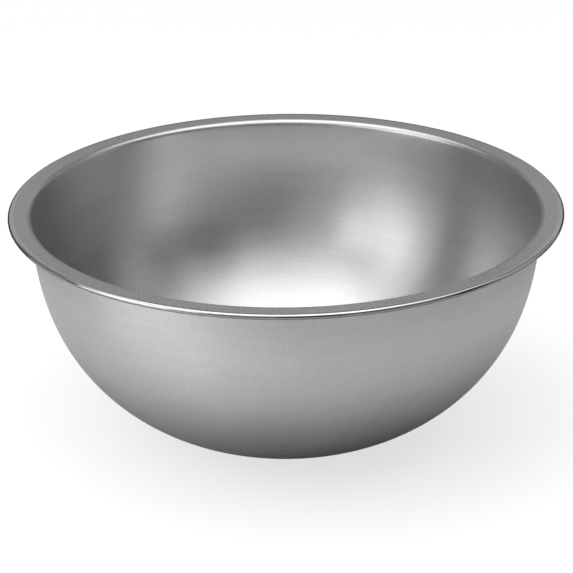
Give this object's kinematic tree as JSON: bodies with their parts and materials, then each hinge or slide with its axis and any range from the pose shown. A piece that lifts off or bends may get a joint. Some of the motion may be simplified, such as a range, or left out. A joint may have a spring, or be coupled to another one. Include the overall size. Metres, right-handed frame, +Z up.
{
  "type": "mixing bowl",
  "caption": "Deep round mixing bowl of satin stainless steel sheet, with a flat base, near-upright upper wall, wide level rim flange and curled bead edge.",
  "frame": {"origin": "centre of the flat base, on the surface that the bowl stands on", "axes": "+Z up along the bowl's axis of revolution; X and Y are interchangeable"},
  "size_m": [0.337, 0.337, 0.142],
  "materials": {
    "stainless_steel": "satin, finely polished round the bowl's axis"
  },
  "bodies": {
    "root": {"bowl": "stainless_steel"}
  },
  "joints": []
}
